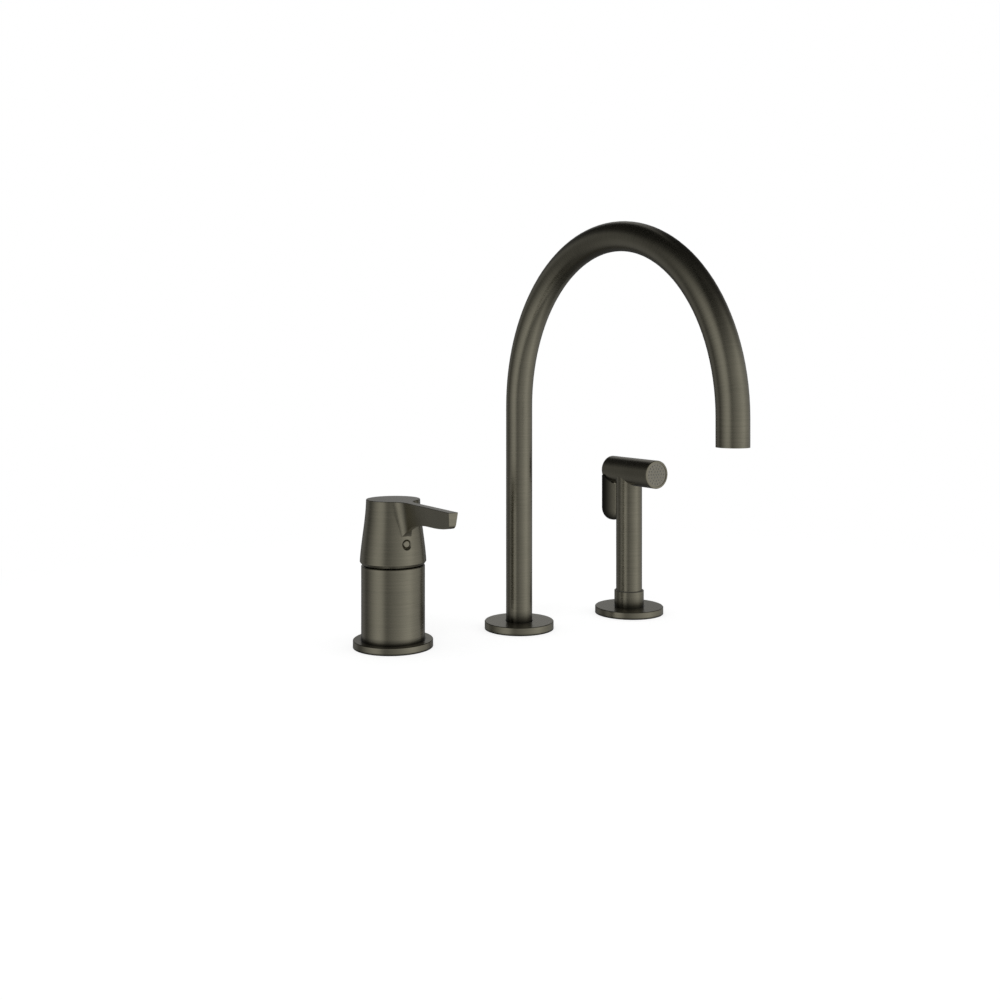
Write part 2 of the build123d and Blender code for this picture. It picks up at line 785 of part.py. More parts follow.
# The stem is square where it fits the handle, and ends in a ball in the disc carrier.
stem_foot = tilt_height - stem_foot_drop
with BuildPart() as cartridge_stem:
    with BuildSketch(level(mixer_x, stem_foot)):
        Rectangle(stem_width, stem_width)
    extrude(amount=stem_top - stem_foot)
    chamfer(cartridge_stem.edges().group_by(Axis.Z)[-1], edge_break)
    disc(level(mixer_x, ball_height), stem_foot - ball_height, ball_neck_radius)
    with Locations((mixer_x, 0, ball_height)):
        Sphere(ball_radius)
    with BuildSketch(side(mixer_x, tilt_height)):
        Circle(stem_pin_radius + running_gap)
    extrude(amount=stem_width, both=True, mode=Mode.SUBTRACT)
cartridge_stem.part.label = "cartridge_stem"
export_step(cartridge_stem.part, "parts/cartridge_stem.step")

with BuildPart() as cartridge_nut:
    disc(
        level(mixer_x, housing_shoulder),
        nut_height,
        cartridge_radius,
        housing_collar_radius + joint_gap,
    )
    with BuildSketch(level(mixer_x, housing_shoulder + nut_height)):
        with PolarLocations(cartridge_radius, nut_notch_count):
            Rectangle(nut_notch, nut_notch)
    extrude(amount=-nut_notch, mode=Mode.SUBTRACT)
cartridge_nut.part.label = "cartridge_nut"
export_step(cartridge_nut.part, "parts/cartridge_nut.step")

# ---- Mixer: dome cap, a ball zone round the tilt axis so that the handle clears it ---------


def dome_edge(radius, height):
    """Radius of a ball round the tilt axis at a height above the deck."""
    return sqrt(radius**2 - (height - tilt_height) ** 2)


dome_skirt_radius = dome_edge(dome_radius, mixer_top)
dome_rim_radius = dome_edge(dome_radius, dome_top)
dome_inner = dome_radius - dome_wall
dome_ceiling = dome_top - dome_top_wall
dome_hole = housing_collar_radius + air_gap
dome_foot = valve_shoulder + joint_gap
dome_skirt_inner = valve_neck_radius + joint_gap
with BuildPart() as dome_cap:
    with BuildSketch(section(mixer_x)):
        with BuildLine():
            Polyline(
                (dome_hole, dome_ceiling),
                (dome_hole, dome_top),
                (dome_rim_radius, dome_top),
            )
            RadiusArc((dome_rim_radius, dome_top), (dome_skirt_radius, mixer_top), dome_radius)
            Polyline(
                (dome_skirt_radius, mixer_top),
                (dome_skirt_radius, dome_foot),
                (dome_skirt_inner, dome_foot),
                (dome_skirt_inner, mixer_top),
                (dome_edge(dome_inner, mixer_top), mixer_top),
            )
            RadiusArc(
                (dome_edge(dome_inner, mixer_top), mixer_top),
                (dome_edge(dome_inner, dome_ceiling), dome_ceiling),
                -dome_inner,
            )
            Line(
                (dome_edge(dome_inner, dome_ceiling), dome_ceiling),
                (dome_hole, dome_ceiling),
            )
        make_face()
    revolve(axis=upright(mixer_x))
dome_cap.part.label = "dome_cap"
export_step(dome_cap.part, "parts/dome_cap.step")

# ---- Mixer: handle, a flared cone with a blade that leaves it at the top -------------------
handle_foot = mixer_top + mixer_split
handle_shoulder = handle_foot + handle_shoulder_rise
handle_waist_height = handle_foot + handle_waist_rise
handle_neck_height = handle_foot + handle_neck_rise
handle_top = handle_foot + handle_height
lever_root = handle_foot + lever_root_rise
plug_height = handle_foot + plug_rise
handle_foot_radius = mixer_radius + handle_foot_proud
handle_shoulder_radius = mixer_radius + handle_shoulder_proud
handle_waist_radius = mixer_radius + handle_waist_proud
handle_neck_radius = mixer_radius + handle_neck_proud
handle_top_radius = mixer_radius + handle_top_proud
handle_root_radius = (handle_waist_radius + handle_neck_radius) / 2

with BuildPart() as lever_blade:
    # The blade's plan at its root and at the top: a hollow that narrows to a V on each side.
    for height, skin, hollow, half_blade in (
        (lever_root, handle_root_radius, lever_root_fillet, lever_root_width / 2),
        (handle_top, handle_top_radius, lever_fillet, lever_width / 2),
    ):
        fillet_angle = asin((half_blade + hollow) / (skin + hollow))
        fillet_start = (skin * cos(fillet_angle), skin * sin(fillet_angle))
        fillet_end = ((skin + hollow) * cos(fillet_angle), half_blade)
        with BuildSketch(plan(mixer_x, height)):
            with BuildLine():
                Line((0, fillet_start[1]), fillet_start)
                RadiusArc(fillet_start, fillet_end, -hollow)
                Polyline(
                    fillet_end,
                    (lever_reach, half_blade),
                    (lever_reach, -half_blade),
                    (fillet_end[0], -half_blade),
                )
                RadiusArc(
                    (fillet_end[0], -half_blade), (fillet_start[0], -fillet_start[1]), -hollow
                )
                Polyline(
                    (fillet_start[0], -fillet_start[1]),
                    (0, -fillet_start[1]),
                    (0, fillet_start[1]),
                )
            make_face()
    loft(ruled=True)
    with BuildSketch(side(mixer_x)):
        with BuildLine():
            Polyline(
                (0, lever_root),
                (0, handle_top),
                (lever_reach, handle_top),
                (lever_reach - lever_tip_rake, handle_top - lever_tip_depth),
            )
            Spline(
                (lever_reach - lever_tip_rake, handle_top - lever_tip_depth),
                *[(lever_reach - back, handle_top - down) for back, down in lever_underside],
                (handle_root_radius, lever_root),
                tangents=((-5, -1), (0, -1)),
            )
            Line((handle_root_radius, lever_root), (0, lever_root))
        underside = make_face()
        fillet(underside.vertices().sort_by(Axis.X)[-2], lever_tip_round)
    extrude(amount=handle_top_radius, both=True, mode=Mode.INTERSECT)
    chamfer(
        lever_blade.edges().group_by(Axis.Z)[-1].sort_by(Axis.Y)[:-1],
        lever_edge,
    )

plug_hole = plug_radius + joint_gap
plug_slope = (handle_shoulder_radius - handle_waist_radius) / (
    handle_waist_height - handle_shoulder
)
plug_skin = handle_waist_radius + plug_slope * (handle_waist_height - plug_height)
cavity_radius = dome_radius + air_gap
# What the handle keeps clear of: a ball round the dome cap, and the sleeve's top below it. The
# handle is cut by it once at rest and once tilted, which leaves the bevel at its rear foot.
with BuildPart() as handle_clearance:
    with Locations((mixer_x, 0, tilt_height)):
        Sphere(cavity_radius)
    disc(level(mixer_x, dome_top + air_gap), cavity_radius, cavity_radius, mode=Mode.SUBTRACT)
    disc(level(mixer_x, mixer_top + air_gap), -cavity_radius, lever_reach)
tilted_clearance = handle_clearance.part.rotate(
    Axis((mixer_x, 0, tilt_height), (1, 0, 0)), lever_lift + lever_overlift
)

with BuildPart() as mixer_handle:
    with BuildSketch(section(mixer_x)):
        with BuildLine():
            Polyline(
                (handle_shoulder_radius, handle_shoulder),
                (handle_foot_radius, handle_foot),
                (0, handle_foot),
                (0, handle_top),
                (handle_top_radius - lever_edge, handle_top),
                (handle_top_radius, handle_top - lever_edge),
            )
            Spline(
                (handle_top_radius, handle_top - lever_edge),
                (handle_neck_radius, handle_neck_height),
                (handle_waist_radius, handle_waist_height),
                (handle_shoulder_radius, handle_shoulder),
            )
        make_face()
    revolve(axis=upright(mixer_x))
    add(lever_blade.part)
    add(handle_clearance.part, mode=Mode.SUBTRACT)
    add(tilted_clearance, mode=Mode.SUBTRACT)
    # round the dome's skirt, below the tilt axis
    cut(level(mixer_x, handle_foot), tilt_height - handle_foot, cavity_radius)
    # socket for the stem
    with BuildSketch(level(mixer_x, dome_top)):
        Rectangle(stem_width + 2 * joint_gap, stem_width + 2 * joint_gap)
    extrude(amount=stem_top + joint_gap - dome_top, mode=Mode.SUBTRACT)
    # hole for the set screw and the plug, with a countersink round the plug
    cut(facing(mixer_x, 0, plug_height), handle_shoulder_radius, plug_hole)
    with BuildSketch(side(mixer_x, plug_height)):
        with BuildLine():
            Polyline(
                (plug_skin - plug_countersink + plug_hole, 0),
                (plug_skin - plug_countersink + plug_hole, plug_hole),
                (handle_shoulder_radius, plug_countersink + handle_shoulder_radius - plug_skin),
                (handle_shoulder_radius, 0),
                close=True,
            )
        make_face()
    revolve(axis=Axis((mixer_x, 0, plug_height), (0, -1, 0)), mode=Mode.SUBTRACT)
mixer_handle.part.label = "mixer_handle"
export_step(mixer_handle.part, "parts/mixer_handle.step")

with BuildPart() as handle_screw:
    disc(
        facing(mixer_x, half_stem + joint_gap, plug_height),
        handle_screw_length,
        plug_radius,
    )
    with BuildSketch(facing(mixer_x, half_stem + joint_gap + handle_screw_length, plug_height)):
        RegularPolygon(handle_screw_key / 2, 6, major_radius=False)
    extrude(amount=-handle_screw_key, mode=Mode.SUBTRACT)
handle_screw.part.label = "handle_screw"
export_step(handle_screw.part, "parts/handle_screw.step")

with BuildPart() as handle_plug:
    disc(facing(mixer_x, plug_skin - plug_inset - plug_depth, plug_height), plug_depth, plug_radius)
    chamfer(handle_plug.edges().group_by(Axis.Y)[0], plug_bevel)
handle_plug.part.label = "handle_plug"
export_step(handle_plug.part, "parts/handle_plug.step")

# ---- Side spray: collar, its guide ring and the shank that the hose passes through ---------
ledge_height = spray_tube_foot - air_gap
with BuildPart() as spray_collar:
    disc(level(spray_x, collar_tail), collar_top - collar_tail, collar_radius, ledge_radius)
    cut(level(spray_x, ledge_height), collar_top - ledge_height, collar_bore)
    cut(
        level(spray_x, guide_ring_foot - joint_gap),
        guide_ring_height + 2 * joint_gap,
        guide_ring_outer + joint_gap,
    )
    disc(
        level(spray_x, spray_flange_height),
        collar_groove_height,
        collar_radius,
        collar_radius - edge_break,
        mode=Mode.SUBTRACT,
    )
    chamfer(spray_collar.edges().group_by(Axis.Z)[-1].sort_by(SortBy.LENGTH)[-1], edge_break)
spray_collar.part.label = "spray_collar"
export_step(spray_collar.part, "parts/spray_collar.step")

with BuildPart() as spray_guide_ring:
    disc(
        level(spray_x, guide_ring_foot),
        guide_ring_height,
        guide_ring_outer,
        spray_tube_radius + running_gap,
    )
spray_guide_ring.part.label = "spray_guide_ring"
export_step(spray_guide_ring.part, "parts/spray_guide_ring.step")

with BuildPart() as spray_shank:
    disc(level(spray_x, shank_bottom), shank_rise - shank_bottom, shank_radius, spray_shank_bore)
    chamfer(
        spray_shank.edges().group_by(Axis.Z)[0].sort_by(SortBy.LENGTH)[-1],
        edge_break,
    )
    cut(
        level(spray_x, collar_tail - spray_shank_socket),
        shank_rise - collar_tail + spray_shank_socket,
        collar_radius + joint_gap,
    )
spray_shank.part.label = "spray_shank"
export_step(spray_shank.part, "parts/spray_shank.step")

# ---- Side spray: swivelling hose connection in the foot of the handset --------------------
swivel_top = spray_tube_foot + swivel_depth
swivel_flange_foot = ledge_height - swivel_flange_height
swivel_bottom = swivel_flange_foot - swivel_thread_length
with BuildPart() as spray_swivel:
    disc(
        level(spray_x, swivel_flange_foot),
        swivel_top - swivel_flange_foot,
        spray_tube_bore - running_gap,
    )
    disc(level(spray_x, swivel_flange_foot), swivel_flange_height, swivel_flange_radius)
    disc(level(spray_x, swivel_bottom), swivel_thread_length, swivel_thread_radius)
    chamfer(spray_swivel.edges().group_by(Axis.Z)[0], edge_break)
    cut(level(spray_x, swivel_bottom), swivel_top - swivel_bottom, swivel_bore)
spray_swivel.part.label = "spray_swivel"
export_step(spray_swivel.part, "parts/spray_swivel.step")

# ---- Side spray: barrel and upright tube --------------------------------------------------
barrel_bore = barrel_radius - barrel_wall
spray_face = barrel_front + nozzle_ring_length
trigger_pin_height = barrel_height + trigger_pin_rise
trigger_pin_forward = trigger_pin_inset - barrel_rear
trigger_bottom = barrel_height - trigger_drop
half_tongue = tongue_width / 2
tongue_rear = trigger_pin_forward - tongue_thickness / 2
tongue_front = trigger_pin_forward + tongue_thickness / 2
squeeze = radians(trigger_squeeze)
tongue_swing = (trigger_pin_height - barrel_height + barrel_radius) * sin(squeeze)
slot_back = tongue_rear - air_gap
slot_ahead = tongue_front + tongue_swing + air_gap
with BuildPart() as spray_body:
    disc(level(spray_x, spray_tube_foot), barrel_height - spray_tube_foot, spray_tube_radius)
    disc(facing(spray_x, -barrel_rear, barrel_height), barrel_rear + barrel_front, barrel_radius)
    chamfer(spray_body.edges().group_by(Axis.Y)[-1], barrel_edge)
    chamfer(spray_body.edges().group_by(Axis.Z)[0], edge_break)
    cut(facing(spray_x, -barrel_rear, barrel_height), barrel_rear + barrel_front, barrel_bore)
    cut(level(spray_x, spray_tube_foot), barrel_height - spray_tube_foot, spray_tube_bore)
    with BuildSketch(plan(spray_x, barrel_height - barrel_radius)):
        with Locations(((slot_back + slot_ahead) / 2, 0)):
            Rectangle(slot_ahead - slot_back, tongue_width + 2 * air_gap)
    extrude(amount=barrel_radius, mode=Mode.SUBTRACT)
spray_body.part.label = "spray_body"
export_step(spray_body.part, "parts/spray_body.step")

# ---- Side spray: nozzle ring, face plate and the rubber mat with its nozzles ---------------
nozzle_ring_bore = barrel_radius - nozzle_ring_wall
thread_bore = barrel_bore - nozzle_ring_wall
with BuildPart() as spray_nozzle_ring:
    disc(
        facing(spray_x, barrel_front, barrel_height),
        spray_face - barrel_front,
        barrel_radius,
        nozzle_ring_bore,
    )
    disc(
        facing(spray_x, barrel_front - nozzle_ring_thread, barrel_height),
        nozzle_ring_thread + edge_break,
        barrel_bore - joint_gap,
        thread_bore,
    )
    chamfer(
        spray_nozzle_ring.edges().group_by(Axis.Y)[0].sort_by(SortBy.LENGTH)[-1],
        edge_break,
    )
spray_nozzle_ring.part.label = "spray_nozzle_ring"
export_step(spray_nozzle_ring.part, "parts/spray_nozzle_ring.step")

plate_front = spray_face - face_plate_recess
plate_back = plate_front - face_plate_height
plate_radius = nozzle_ring_bore - joint_gap
nozzle_circles = [(n * nozzle_ring_pitch, n * nozzle_step_count) for n in range(1, nozzle_ring_count + 1)]
with BuildPart() as spray_face_plate:
    disc(facing(spray_x, plate_back, barrel_height), face_plate_height, plate_radius)
    with BuildSketch(facing(spray_x, plate_back, barrel_height)):
        Circle(nozzle_hole_radius)
        for circle, count in nozzle_circles:
            with PolarLocations(circle, count):
                Circle(nozzle_hole_radius)
    extrude(amount=face_plate_height, mode=Mode.SUBTRACT)
spray_face_plate.part.label = "spray_face_plate"
export_step(spray_face_plate.part, "parts/spray_face_plate.step")

with BuildPart() as spray_nozzle_mat:
    disc(
        facing(spray_x, plate_back - nozzle_mat_height, barrel_height),
        nozzle_mat_height,
        plate_radius - joint_gap,
    )
    with BuildSketch(facing(spray_x, plate_back, barrel_height)):
        Circle(nozzle_radius)
        for circle, count in nozzle_circles:
            with PolarLocations(circle, count):
                Circle(nozzle_radius)
    extrude(amount=face_plate_height + nozzle_stand)
spray_nozzle_mat.part.label = "spray_nozzle_mat"
export_step(spray_nozzle_mat.part, "parts/spray_nozzle_mat.step")

# ---- Side spray: valve, its plunger on an axis below the barrel's --------------------------
plunger_height = barrel_height - plunger_drop
insert_radius = barrel_bore - joint_gap
inlet_front = valve_rear + valve_rear_wall + valve_inlet_length
seat_front = inlet_front + valve_seat_wall
plunger_bore = plunger_radius + running_gap
with BuildPart() as spray_valve_housing:
    disc(facing(spray_x, valve_rear, barrel_height), valve_front - valve_rear, insert_radius)
    cut(facing(spray_x, valve_rear, plunger_height), valve_rear_wall, plunger_bore)
    cut(facing(spray_x, valve_rear + gland_depth, plunger_height), gland_depth, gland_radius)
    cut(
        facing(spray_x, valve_rear + valve_rear_wall, plunger_height),
        valve_inlet_length,
        valve_chamber_radius,
    )
    cut(facing(spray_x, inlet_front, plunger_height), valve_seat_wall, valve_seat_radius)
    cut(facing(spray_x, seat_front, plunger_height), valve_front - seat_front, valve_chamber_radius)
    cut(
        level(spray_x, barrel_height - insert_radius),
        plunger_height - barrel_height + insert_radius,
        valve_inlet_radius,
    )
spray_valve_housing.part.label = "spray_valve_housing"
export_step(spray_valve_housing.part, "parts/spray_valve_housing.step")

with BuildPart() as valve_retainer:
    disc(facing(spray_x, valve_front, barrel_height), retainer_height, insert_radius)
    with BuildSketch(facing(spray_x, valve_front, barrel_height)):
        with PolarLocations(retainer_hole_circle_radius, retainer_hole_count):
            Circle(retainer_hole_radius)
    extrude(amount=retainer_height, mode=Mode.SUBTRACT)
valve_retainer.part.label = "valve_retainer"
export_step(valve_retainer.part, "parts/valve_retainer.step")

plunger_rear = tongue_front + air_gap
plunger_seal_rear = seat_front + plunger_seal_gap
plunger_head_rear = plunger_seal_rear + plunger_seal_height
plunger_head_front = plunger_head_rear + plunger_head_height
with BuildPart() as spray_plunger:
    disc(
        facing(spray_x, plunger_rear, plunger_height),
        plunger_head_front - plunger_rear + plunger_guide,
        plunger_radius,
    )
    disc(
        facing(spray_x, plunger_head_rear, plunger_height),
        plunger_head_height,
        plunger_head_radius,
    )
    chamfer(spray_plunger.edges().group_by(Axis.Y)[-1], edge_break)
spray_plunger.part.label = "spray_plunger"
export_step(spray_plunger.part, "parts/spray_plunger.step")

with BuildPart() as plunger_seal:
    disc(
        facing(spray_x, plunger_seal_rear, plunger_height),
        plunger_seal_height,
        plunger_head_radius,
        plunger_radius + joint_gap,
    )
plunger_seal.part.label = "plunger_seal"
export_step(plunger_seal.part, "parts/plunger_seal.step")

with BuildPart() as plunger_spring:
    helix_wire(
        (spray_x, -plunger_head_front - joint_gap - plunger_spring_wire, plunger_height),
        (0, -1, 0),
        plunger_spring_radius,
        plunger_spring_wire,
        valve_front - plunger_head_front - 2 * joint_gap,
        plunger_spring_turns,
    )
plunger_spring.part.label = "plunger_spring"
export_step(plunger_spring.part, "parts/plunger_spring.step")

# ---- Side spray: rear cap, with two ears that hold the trigger's pin ----------------------
cap_front = -barrel_rear + rear_cap_height
ear_inner = half_tongue + air_gap
ear_outer = ear_inner + ear_thickness
ear_front = trigger_pin_forward + trigger_pin_radius + ear_round
with BuildPart() as spray_rear_cap:
    with BuildSketch(facing(spray_x, cap_front, trigger_pin_height)):
        for way in (-1, 1):
            with Locations((way * (ear_inner + ear_outer) / 2, 0)):
                Rectangle(ear_thickness, 2 * (trigger_pin_radius + ear_round))
    extrude(amount=ear_front - cap_front)
    with BuildSketch(side(spray_x, trigger_pin_height)):
        with Locations((trigger_pin_forward, 0)):
            Circle(trigger_pin_radius + joint_gap)
    extrude(amount=barrel_radius, both=True, mode=Mode.SUBTRACT)
    disc(
        facing(spray_x, cap_front, barrel_height),
        ear_front - cap_front,
        insert_radius,
        mode=Mode.INTERSECT,
    )
    disc(facing(spray_x, -barrel_rear, barrel_height), rear_cap_height, insert_radius)
    chamfer(spray_rear_cap.edges().group_by(Axis.Y)[-1], edge_break)
spray_rear_cap.part.label = "spray_rear_cap"
export_step(spray_rear_cap.part, "parts/spray_rear_cap.step")

with BuildPart() as trigger_pin:
    with BuildSketch(side(spray_x, trigger_pin_height)):
        with Locations((trigger_pin_forward, 0)):
            Circle(trigger_pin_radius)
    extrude(amount=ear_outer - edge_break, both=True)
trigger_pin.part.label = "trigger_pin"
export_step(trigger_pin.part, "parts/trigger_pin.step")

# ---- Side spray: trigger, a round-ended plate that hangs from its tongue -------------------
plate_middle = trigger_bottom + barrel_radius
with BuildPart() as spray_trigger:
    with BuildSketch(facing(spray_x, -barrel_rear, plate_middle)):
        Circle(barrel_radius)
        with Locations((0, (barrel_height - plate_middle) / 2)):
            Rectangle(2 * barrel_radius, barrel_height - plate_middle)
    extrude(amount=trigger_thickness)
    fillet(spray_trigger.edges().group_by(Axis.Y)[-1].sort_by(Axis.Z)[:-1], trigger_round)
    front_face = spray_trigger.faces().sort_by(Axis.Y)[0]
    chamfer(
        front_face.edges().sort_by(Axis.Z)[:-1],
        trigger_bevel,
        trigger_bevel_depth,
        reference=front_face,
    )
    disc(
        facing(spray_x, -barrel_rear, barrel_height),
        trigger_thickness,
        barrel_radius + trigger_gap,
        mode=Mode.SUBTRACT,
    )
    with BuildSketch(side(spray_x)):
        with Locations((trigger_pin_forward, trigger_pin_height)):
            Circle(tongue_thickness / 2)
        with Locations((trigger_pin_forward, (plate_middle + trigger_pin_height) / 2)):
            Rectangle(tongue_thickness, trigger_pin_height - plate_middle)
    extrude(amount=half_tongue, both=True)
    with BuildSketch(side(spray_x, trigger_pin_height)):
        with Locations((trigger_pin_forward, 0)):
            Circle(trigger_pin_radius + running_gap)
    extrude(amount=barrel_radius, both=True, mode=Mode.SUBTRACT)
spray_trigger.part.label = "spray_trigger"
export_step(spray_trigger.part, "parts/spray_trigger.step")
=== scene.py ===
from math import cos, pi, radians, sin

import bpy
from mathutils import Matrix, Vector


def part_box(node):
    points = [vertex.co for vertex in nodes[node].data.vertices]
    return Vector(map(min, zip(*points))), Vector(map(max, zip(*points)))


# Looks of the side spray kitchen faucet, in metres, in the frame of the CAD model: +Z up, the
# deck at z = 0, the row along X, and -Y towards the user.

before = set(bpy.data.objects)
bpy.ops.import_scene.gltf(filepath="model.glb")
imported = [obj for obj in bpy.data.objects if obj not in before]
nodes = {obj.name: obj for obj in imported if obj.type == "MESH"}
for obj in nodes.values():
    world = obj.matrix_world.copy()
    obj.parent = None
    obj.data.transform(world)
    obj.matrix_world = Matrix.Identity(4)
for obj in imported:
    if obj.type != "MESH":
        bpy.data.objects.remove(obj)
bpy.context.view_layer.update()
scene = bpy.context.scene

# ---- Places taken from the frame ----------------------------------------------------------


def centre_of(node):
    low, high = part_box(node)
    return (low + high) / 2


def half_width(node):
    low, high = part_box(node)
    return (high.x - low.x) / 2


mixer_axis = centre_of("mixer_sleeve")
spout_axis = centre_of("spout_flange")
spray_axis = centre_of("spray_collar")
barrel_centre = centre_of("spray_nozzle_ring")
barrel_radius = half_width("spray_nozzle_ring")
tube_low, tube_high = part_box("spout_tube")
tube_radius = half_width("spout_tube")
arc_radius = (tube_high.y - tube_low.y) / 2 - tube_radius
arc_centre_y = (tube_high.y + tube_low.y) / 2
arc_centre_z = tube_high.z - arc_radius - tube_radius

# ---- Camera: level, at the photograph's viewing angle --------------------------------------
camera_bearing = radians(31.137)  # round from the front, towards the mixer's side
to_camera = Vector((-sin(camera_bearing), -cos(camera_bearing), 0))
camera = bpy.data.objects.new("camera", bpy.data.cameras.new("camera"))
scene.collection.objects.link(camera)
camera.location = (-0.45313, -0.72174, 0.19866)
camera.rotation_euler = (radians(90), 0, -camera_bearing)
camera.data.lens = 40.078
camera.data.sensor_width = 36
camera.data.shift_y = -0.1316
camera.data.clip_start = 0.01
scene.camera = camera

# ---- Node graph helpers -------------------------------------------------------------------


class Graph:
    """Short calls for the nodes of one material or world."""

    def __init__(self, tree):
        self.tree = tree

    def node(self, kind, **settings):
        made = self.tree.nodes.new(kind)
        for name, value in settings.items():
            setattr(made, name, value)
        return made

    def put(self, socket, value):
        if isinstance(value, bpy.types.NodeSocket):
            self.tree.links.new(value, socket)
        else:
            socket.default_value = value

    def math(self, operation, first, second=0.0, third=0.0):
        made = self.node("ShaderNodeMath", operation=operation)
        for socket, value in zip(made.inputs, (first, second, third)):
            self.put(socket, value)
        return made.outputs[0]

    def scaled(self, value, low, high, out_low=0.0, out_high=1.0, how="SMOOTHSTEP"):
        made = self.node("ShaderNodeMapRange", interpolation_type=how)
        self.put(made.inputs["Value"], value)
        made.inputs["From Min"].default_value = low
        made.inputs["From Max"].default_value = high
        made.inputs["To Min"].default_value = out_low
        made.inputs["To Max"].default_value = out_high
        return made.outputs[0]

    # A Mix node has its factor at 0, its two numbers at 2 and 3, and its two colours at 6 and 7.

    def mix(self, share, first, second, how="MIX"):
        made = self.node("ShaderNodeMix", data_type="RGBA", blend_type=how)
        self.put(made.inputs[0], share)
        self.put(made.inputs[6], first)
        self.put(made.inputs[7], second)
        return made.outputs[2]

    def pick(self, share, first, second):
        made = self.node("ShaderNodeMix", data_type="FLOAT")
        self.put(made.inputs[0], share)
        self.put(made.inputs[2], first)
        self.put(made.inputs[3], second)
        return made.outputs[0]

    def mix_shaders(self, share, first, second):
        made = self.node("ShaderNodeMixShader")
        for socket, value in zip(made.inputs, (share, first, second)):
            self.put(socket, value)
        return made.outputs[0]

    def combine(self, x, y, z):
        made = self.node("ShaderNodeCombineXYZ")
        for socket, value in zip(made.inputs, (x, y, z)):
            self.put(socket, value)
        return made.outputs[0]

    def dot(self, vector, other):
        made = self.node("ShaderNodeVectorMath", operation="DOT_PRODUCT")
        self.put(made.inputs[0], vector)
        self.put(made.inputs[1], tuple(other))
        return made.outputs["Value"]

    def noise(self, vector, scale, detail, rough):
        made = self.node("ShaderNodeTexNoise")
        self.put(made.inputs["Vector"], vector)
        made.inputs["Scale"].default_value = scale
        made.inputs["Detail"].default_value = detail
        made.inputs["Roughness"].default_value = rough
        return made.outputs["Fac"]

    def place(self):
        """The point in the object's own frame, which is the CAD frame at rest."""
        made = self.node("ShaderNodeTexCoord")
        split = self.node("ShaderNodeSeparateXYZ")
        self.put(split.inputs[0], made.outputs["Object"])
        return made.outputs["Object"], split.outputs

    def hypotenuse(self, first, second):
        squares = self.math("MULTIPLY", first, first)
        return self.math("SQRT", self.math("MULTIPLY_ADD", second, second, squares))

    def bump(self, height, strength, distance):
        made = self.node("ShaderNodeBump")
        made.inputs["Strength"].default_value = strength
        made.inputs["Distance"].default_value = distance
        self.put(made.inputs["Height"], height)
        return made.outputs["Normal"]


def new_material(name):
    material = bpy.data.materials.new(name)
    material.use_nodes = True
    graph = Graph(material.node_tree)
    shader = material.node_tree.nodes["Principled BSDF"]
    return material, graph, shader


def finish_node(material, *names):
    for name in names:
        slots = nodes[name].data.materials
        if not slots:
            slots.append(material)
        for index in range(len(slots)):
            slots[index] = material


# ---- Brushed metal -------------------------------------------------------------------------
# The brush lines are noise that changes fast across them and slowly along them. Each way of
# brushing below gives the three coordinates of that noise in metres: two across, one along.


def round_lines(graph, centre):
    """Round an upright axis, as a lathe brushes: level lines on the walls, rings on the tops."""
    _, (x, y, z) = graph.place()
    dx = graph.math("SUBTRACT", x, centre.x)
    dy = graph.math("SUBTRACT", y, centre.y)
    return graph.hypotenuse(dx, dy), z, graph.math("ADD", dx, dy)


def barrel_lines(graph, centre):
    """Round an axis along Y."""
    _, (x, y, z) = graph.place()
    dx = graph.math("SUBTRACT", x, centre.x)
    dz = graph.math("SUBTRACT", z, centre.z)
    return graph.hypotenuse(dx, dz), y, graph.math("ADD", dx, dz)


def blade_lines(graph, centre):
    """Level lines along Y."""
    _, (x, y, z) = graph.place()
    return graph.math("SUBTRACT", x, centre.x), z, y


def spray_body_lines(graph, centre):
    """Round the barrel's axis near the barrel and round the upright tube below it."""
    below_barrel = centre.z - barrel_radius * 1.02
    _, (x, y, z) = graph.place()
    low = graph.math("LESS_THAN", z, below_barrel)
    dx = graph.math("SUBTRACT", x, centre.x)
    dy = graph.math("SUBTRACT", y, spray_axis.y)
    dz = graph.math("SUBTRACT", z, centre.z)
    from_axis = graph.pick(low, graph.hypotenuse(dx, dz), graph.hypotenuse(dx, dy))
    along_axis = graph.pick(low, y, z)
    round_axis = graph.pick(low, graph.math("ADD", dx, z), graph.math("ADD", dx, y))
    return from_axis, along_axis, round_axis


def arch_lines(graph, centre):
    """Across the spout's tube: by height on the riser, by angle round the arch above it."""
    _, (x, y, z) = graph.place()
    dy = graph.math("SUBTRACT", y, arc_centre_y)
    dz = graph.math("SUBTRACT", z, arc_centre_z)
    angle = graph.math("ARCTAN2", dz, dy)
    above = graph.math("GREATER_THAN", dz, 0.0)
    along_tube = graph.pick(above, dz, graph.math("MULTIPLY", angle, arc_radius))
    across_tube = graph.pick(above, dy, graph.hypotenuse(dy, dz))
    return 0.0, along_tube, graph.math("ADD", x, across_tube)


# Painted shade, where a column stands on its flange, where a flange meets the deck and along the
# trigger's rim: each function gives 0 where the shade is full and 1 on the rest.
foot_width = 0.0015  # on the flange, out from the column
foot_start = -0.0003  # up the column, from the flange's top
deck_line = (0.0004, 0.0017)  # up the flange's edge, from the deck


def foot_shade_mask(graph, centre, radius, height, reach):
    """Painted shade where a column stands on its flange, up to reach, and where the flange meets
    the deck.
    """
    _, (x, y, z) = graph.place()
    dx = graph.math("SUBTRACT", x, centre.x)
    dy = graph.math("SUBTRACT", y, centre.y)
    out = graph.math("ABSOLUTE", graph.math("SUBTRACT", graph.hypotenuse(dx, dy), radius))
    up = graph.math("SUBTRACT", z, height)
    outwards = graph.scaled(out, 0.0, foot_width)
    upwards = graph.scaled(up, foot_start, reach, how="LINEAR")
    away = graph.math("MAXIMUM", outwards, upwards)
    return graph.math("MINIMUM", away, graph.scaled(z, *deck_line))


